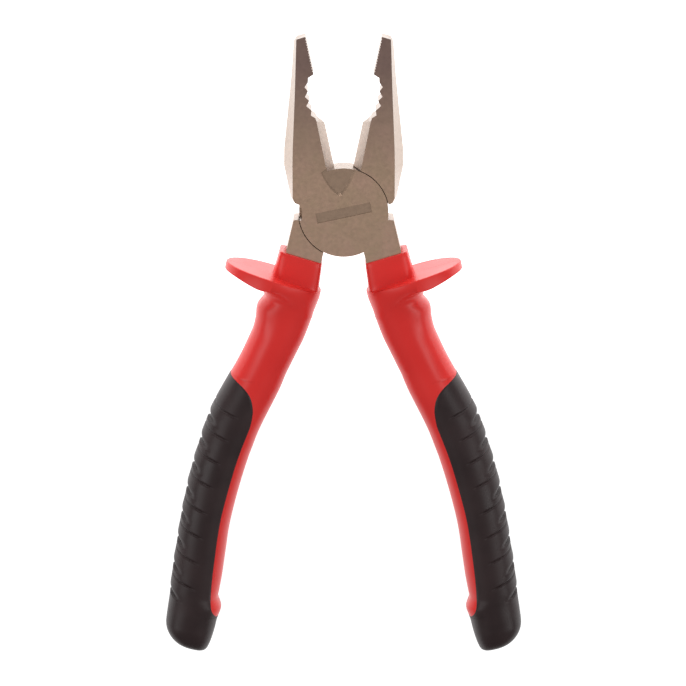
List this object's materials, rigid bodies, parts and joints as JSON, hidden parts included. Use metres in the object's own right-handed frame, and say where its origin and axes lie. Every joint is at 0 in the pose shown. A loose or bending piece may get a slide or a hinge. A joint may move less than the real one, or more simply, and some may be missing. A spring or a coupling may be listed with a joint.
{
  "type": "lineman pliers",
  "caption": "Combination pliers with toothed jaws, cutters and a riveted lap joint, on guarded insulated handles with soft ribbed grips, shown half open.",
  "frame": {"origin": "point on the pivot axis at the flat back face of the joint", "axes": "+Y along the closing line from the handles to the jaw tips, +Z out of the front face of the joint, +X towards the handle that belongs to the front half"},
  "size_m": [0.112, 0.1943, 0.027],
  "materials": {
    "satin_steel": "satin",
    "rivet_steel": "satin",
    "red_sleeve": "gloss",
    "black_grip": "matte"
  },
  "bodies": {
    "front_lever": {"front_half": "satin_steel", "pivot_rivet": "rivet_steel", "right_sleeve": "red_sleeve", "right_grip": "black_grip"},
    "rear_lever": {"rear_half": "satin_steel", "left_sleeve": "red_sleeve", "left_grip": "black_grip"}
  },
  "joints": [
    {"name": "pivot", "type": "hinge", "parent": "front_lever", "child": "rear_lever", "pos_m": [0, 0, 0.006], "axis": [0, 0, 1], "range_deg": [-16, 24.2]}
  ]
}
